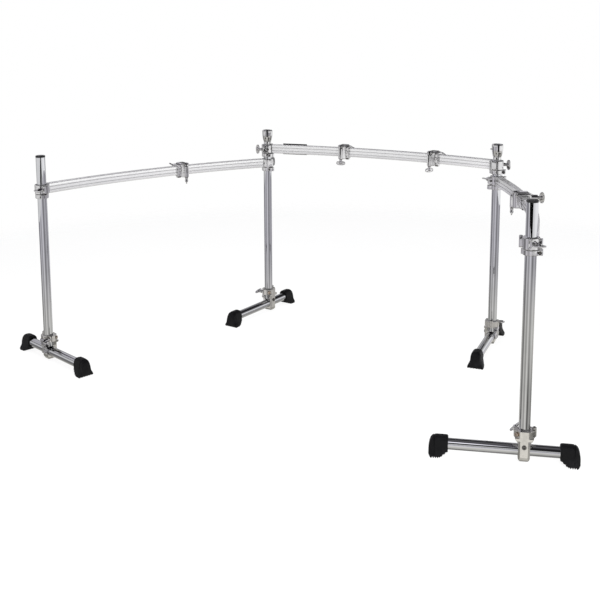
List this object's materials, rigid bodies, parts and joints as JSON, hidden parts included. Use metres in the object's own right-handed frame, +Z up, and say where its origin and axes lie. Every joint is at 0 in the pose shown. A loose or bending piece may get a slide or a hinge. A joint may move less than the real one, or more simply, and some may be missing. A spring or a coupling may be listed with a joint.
{
  "type": "drum rack frame",
  "caption": "Curved wrap-around rack frame of rectangular rails on round posts with T-feet, side wings that swing and lower, collar clamps, and sliding holders for arms.",
  "frame": {"origin": "middle of the whole outline's footprint, on the floor", "axes": "+Z up, +X along the front rail from its left post to its right post, +Y away from the player towards the audience"},
  "size_m": [2.4118, 1.3396, 0.894],
  "materials": {
    "chrome": "mirror plated",
    "casting": "satin plated casting",
    "rail": "satin anodised extrusion",
    "rubber": "moulded",
    "plastic": "satin moulded"
  },
  "bodies": {
    "front_frame": {"rail_front": "rail", "rail_clamp_front_left": "chrome", "rail_clamp_front_right": "chrome", "post_rear_left": "chrome", "post_rear_right": "chrome", "receiver_head_rear_left": "chrome", "receiver_head_rear_right": "chrome", "blank_plate": "plastic"},
    "left_wing_lock": {"memory_lock_rear_left_side": "chrome"},
    "left_wing": {"rail_left": "rail", "rail_clamp_left_inner": "chrome", "rail_clamp_left_outer": "chrome"},
    "left_post": {"post_left": "chrome", "post_cap_left": "plastic"},
    "left_outer_lock": {"memory_lock_left": "chrome"},
    "rear_left_front_lock": {"memory_lock_rear_left_front": "chrome"},
    "right_wing_lock": {"memory_lock_rear_right_side": "chrome"},
    "right_wing": {"rail_right": "rail", "rail_clamp_right_inner": "chrome", "rail_clamp_right_outer": "chrome"},
    "right_post": {"post_right": "chrome", "post_cap_right": "plastic"},
    "right_outer_lock": {"memory_lock_right": "chrome"},
    "rear_right_front_lock": {"memory_lock_rear_right_front": "chrome"},
    "left_foot_clamp": {"foot_clamp_left": "casting"},
    "left_foot": {"foot_tube_left": "chrome", "rubber_foot_left_long": "rubber", "rubber_foot_left_short": "rubber"},
    "left_foot_wing_bolt": {"foot_wing_bolt_left": "chrome"},
    "rear_left_foot_clamp": {"foot_clamp_rear_left": "casting"},
    "rear_left_foot": {"foot_tube_rear_left": "chrome", "rubber_foot_rear_left_long": "rubber", "rubber_foot_rear_left_short": "rubber"},
    "rear_left_foot_wing_bolt": {"foot_wing_bolt_rear_left": "chrome"},
    "rear_right_foot_clamp": {"foot_clamp_rear_right": "casting"},
    "rear_right_foot": {"foot_tube_rear_right": "chrome", "rubber_foot_rear_right_long": "rubber", "rubber_foot_rear_right_short": "rubber"},
    "rear_right_foot_wing_bolt": {"foot_wing_bolt_rear_right": "chrome"},
    "right_foot_clamp": {"foot_clamp_right": "casting"},
    "right_foot": {"foot_tube_right": "chrome", "rubber_foot_right_long": "rubber", "rubber_foot_right_short": "rubber"},
    "right_foot_wing_bolt": {"foot_wing_bolt_right": "chrome"},
    "slider_left": {"slider_left": "chrome"},
    "slider_left_bolt": {"slider_left_wing_bolt": "chrome"},
    "slider_front_left": {"slider_front_left": "chrome"},
    "slider_front_left_bolt": {"slider_front_left_wing_bolt": "chrome"},
    "slider_front_right": {"slider_front_right": "chrome"},
    "slider_front_right_bolt": {"slider_front_right_wing_bolt": "chrome"},
    "slider_right": {"slider_right": "chrome"},
    "slider_right_bolt": {"slider_right_wing_bolt": "chrome"},
    "left_outer_bolt": {"wing_bolt_left_outer": "chrome"},
    "left_inner_bolt": {"wing_bolt_left_inner": "chrome"},
    "front_left_bolt": {"wing_bolt_front_left": "chrome"},
    "front_right_bolt": {"wing_bolt_front_right": "chrome"},
    "right_inner_bolt": {"wing_bolt_right_inner": "chrome"},
    "right_outer_bolt": {"wing_bolt_right_outer": "chrome"},
    "rear_left_receiver_bolt": {"receiver_wing_bolt_rear_left": "chrome"},
    "rear_right_receiver_bolt": {"receiver_wing_bolt_rear_right": "chrome"}
  },
  "joints": [
    {"name": "left_wing_height", "type": "slide", "parent": "front_frame", "child": "left_wing_lock", "axis": [0, 0, 1], "range_m": [-0.3, 0]},
    {"name": "left_wing_swing", "type": "hinge", "parent": "left_wing_lock", "child": "left_wing", "pos_m": [-0.49163, 0.49007, 0.7363], "axis": [0, 0, 1], "range_deg": [-40, 30]},
    {"name": "left_post_slide", "type": "slide", "parent": "left_wing", "child": "left_post", "axis": [0, 0, 1], "range_m": [0, 0.3]},
    {"name": "left_outer_lock_turn", "type": "hinge", "parent": "left_wing", "child": "left_outer_lock", "pos_m": [-1.00633, -0.51373, 0.706], "axis": [0, 0, 1], "continuous": true},
    {"name": "rear_left_front_lock_turn", "type": "hinge", "parent": "front_frame", "child": "rear_left_front_lock", "pos_m": [-0.49163, 0.49007, 0.775], "axis": [0, 0, 1], "continuous": true},
    {"name": "right_wing_height", "type": "slide", "parent": "front_frame", "child": "right_wing_lock", "axis": [0, 0, 1], "range_m": [-0.3, 0]},
    {"name": "right_wing_swing", "type": "hinge", "parent": "right_wing_lock", "child": "right_wing", "pos_m": [0.62857, 0.49007, 0.7363], "axis": [0, 0, 1], "range_deg": [-30, 40]},
    {"name": "right_post_slide", "type": "slide", "parent": "right_wing", "child": "right_post", "axis": [0, 0, 1], "range_m": [0, 0.3]},
    {"name": "right_outer_lock_turn", "type": "hinge", "parent": "right_wing", "child": "right_outer_lock", "pos_m": [1.02567, -0.55713, 0.706], "axis": [0, 0, 1], "continuous": true},
    {"name": "rear_right_front_lock_turn", "type": "hinge", "parent": "front_frame", "child": "rear_right_front_lock", "pos_m": [0.62857, 0.49007, 0.775], "axis": [0, 0, 1], "continuous": true},
    {"name": "left_foot_turn", "type": "hinge", "parent": "left_post", "child": "left_foot_clamp", "pos_m": [-1.00633, -0.51373, 0.0985], "axis": [0, 0, 1], "continuous": true},
    {"name": "left_foot_slide", "type": "slide", "parent": "left_foot_clamp", "child": "left_foot", "axis": [0.9459, -0.3244, 0], "range_m": [-0.176, 0.096]},
    {"name": "left_foot_bolt_turn", "type": "hinge", "parent": "left_foot_clamp", "child": "left_foot_wing_bolt", "pos_m": [-0.98506, -0.54111, 0.0985], "axis": [-0.3244, -0.9459, 0], "continuous": true},
    {"name": "rear_left_foot_turn", "type": "hinge", "parent": "front_frame", "child": "rear_left_foot_clamp", "pos_m": [-0.49163, 0.49007, 0.0985], "axis": [0, 0, 1], "continuous": true},
    {"name": "rear_left_foot_slide", "type": "slide", "parent": "rear_left_foot_clamp", "child": "rear_left_foot", "axis": [-0.138, -0.9904, 0], "range_m": [-0.202, 0.07]},
    {"name": "rear_left_foot_bolt_turn", "type": "hinge", "parent": "rear_left_foot_clamp", "child": "rear_left_foot_wing_bolt", "pos_m": [-0.51445, 0.46397, 0.0985], "axis": [-0.9904, 0.138, 0], "continuous": true},
    {"name": "rear_right_foot_turn", "type": "hinge", "parent": "front_frame", "child": "rear_right_foot_clamp", "pos_m": [0.62857, 0.49007, 0.0985], "axis": [0, 0, 1], "continuous": true},
    {"name": "rear_right_foot_slide", "type": "slide", "parent": "rear_right_foot_clamp", "child": "rear_right_foot", "axis": [0.071, -0.9975, 0], "range_m": [-0.22, 0.052]},
    {"name": "rear_right_foot_bolt_turn", "type": "hinge", "parent": "rear_right_foot_clamp", "child": "rear_right_foot_wing_bolt", "pos_m": [0.64546, 0.52035, 0.0985], "axis": [0.9975, 0.071, 0], "continuous": true},
    {"name": "right_foot_turn", "type": "hinge", "parent": "right_post", "child": "right_foot_clamp", "pos_m": [1.02567, -0.55713, 0.0985], "axis": [0, 0, 1], "continuous": true},
    {"name": "right_foot_slide", "type": "slide", "parent": "right_foot_clamp", "child": "right_foot", "axis": [-0.9633, -0.2684, 0], "range_m": [-0.201, 0.071]},
    {"name": "right_foot_bolt_turn", "type": "hinge", "parent": "right_foot_clamp", "child": "right_foot_wing_bolt", "pos_m": [0.99263, -0.54661, 0.0985], "axis": [-0.2684, 0.9633, 0], "continuous": true},
    {"name": "slider_left_travel", "type": "hinge", "parent": "left_wing", "child": "slider_left", "pos_m": [1.34991, -1.08804, 0.7363], "axis": [0, 0, 1], "range_deg": [-8.23, 14.36]},
    {"name": "slider_left_bolt_turn", "type": "hinge", "parent": "slider_left", "child": "slider_left_bolt", "pos_m": [-0.70569, 0.10896, 0.7079], "axis": [0, 0, 1], "continuous": true},
    {"name": "slider_front_left_travel", "type": "hinge", "parent": "front_frame", "child": "slider_front_left", "pos_m": [0.06847, -1.83542, 0.8041], "axis": [0, 0, 1], "range_deg": [-4.41, 3.44]},
    {"name": "slider_front_left_bolt_turn", "type": "hinge", "parent": "slider_front_left", "child": "slider_front_left_bolt", "pos_m": [-0.11207, 0.50311, 0.7757], "axis": [0, 0, 1], "continuous": true},
    {"name": "slider_front_right_travel", "type": "hinge", "parent": "front_frame", "child": "slider_front_right", "pos_m": [0.06847, -1.83542, 0.8041], "axis": [0, 0, 1], "range_deg": [-5.17, 4.31]},
    {"name": "slider_front_right_bolt_turn", "type": "hinge", "parent": "slider_front_right", "child": "slider_front_right_bolt", "pos_m": [0.32187, 0.49634, 0.7757], "axis": [0, 0, 1], "continuous": true},
    {"name": "slider_right_travel", "type": "hinge", "parent": "right_wing", "child": "slider_right", "pos_m": [-1.34635, -0.85771, 0.7363], "axis": [0, 0, 1], "range_deg": [-14.36, 8.4]},
    {"name": "slider_right_bolt_turn", "type": "hinge", "parent": "slider_right", "child": "slider_right_bolt", "pos_m": [0.79964, 0.0864, 0.7079], "axis": [0, 0, 1], "continuous": true},
    {"name": "left_outer_bolt_turn", "type": "hinge", "parent": "left_wing", "child": "left_outer_bolt", "pos_m": [-0.98265, -0.53906, 0.7363], "axis": [-0.2368, -0.9716, 0], "continuous": true},
    {"name": "left_inner_bolt_turn", "type": "hinge", "parent": "left_wing", "child": "left_inner_bolt", "pos_m": [-0.50129, 0.52337, 0.7363], "axis": [0.6507, 0.7593, 0], "continuous": true},
    {"name": "front_left_bolt_turn", "type": "hinge", "parent": "front_frame", "child": "front_left_bolt", "pos_m": [-0.50331, 0.45743, 0.8041], "axis": [-0.9722, -0.2342, 0], "continuous": true},
    {"name": "front_right_bolt_turn", "type": "hinge", "parent": "front_frame", "child": "front_right_bolt", "pos_m": [0.65383, 0.51381, 0.8041], "axis": [0.9722, -0.2342, 0], "continuous": true},
    {"name": "right_inner_bolt_turn", "type": "hinge", "parent": "right_wing", "child": "right_inner_bolt", "pos_m": [0.59391, 0.48942, 0.7363], "axis": [-0.5637, 0.826, 0], "continuous": true},
    {"name": "right_outer_bolt_turn", "type": "hinge", "parent": "right_wing", "child": "right_outer_bolt", "pos_m": [1.05683, -0.57233, 0.7363], "axis": [0.1257, -0.9921, 0], "continuous": true},
    {"name": "rear_left_receiver_bolt_turn", "type": "hinge", "parent": "front_frame", "child": "rear_left_receiver_bolt", "pos_m": [-0.50548, 0.51825, 0.866], "axis": [-0.441, 0.8975, 0], "continuous": true},
    {"name": "rear_right_receiver_bolt_turn", "type": "hinge", "parent": "front_frame", "child": "rear_right_receiver_bolt", "pos_m": [0.61472, 0.51825, 0.866], "axis": [-0.441, 0.8975, 0], "continuous": true}
  ],
  "couplings": [
    {"joint": "left_post_slide", "follows": "left_wing_height", "ratio": -1},
    {"joint": "right_post_slide", "follows": "right_wing_height", "ratio": -1}
  ]
}
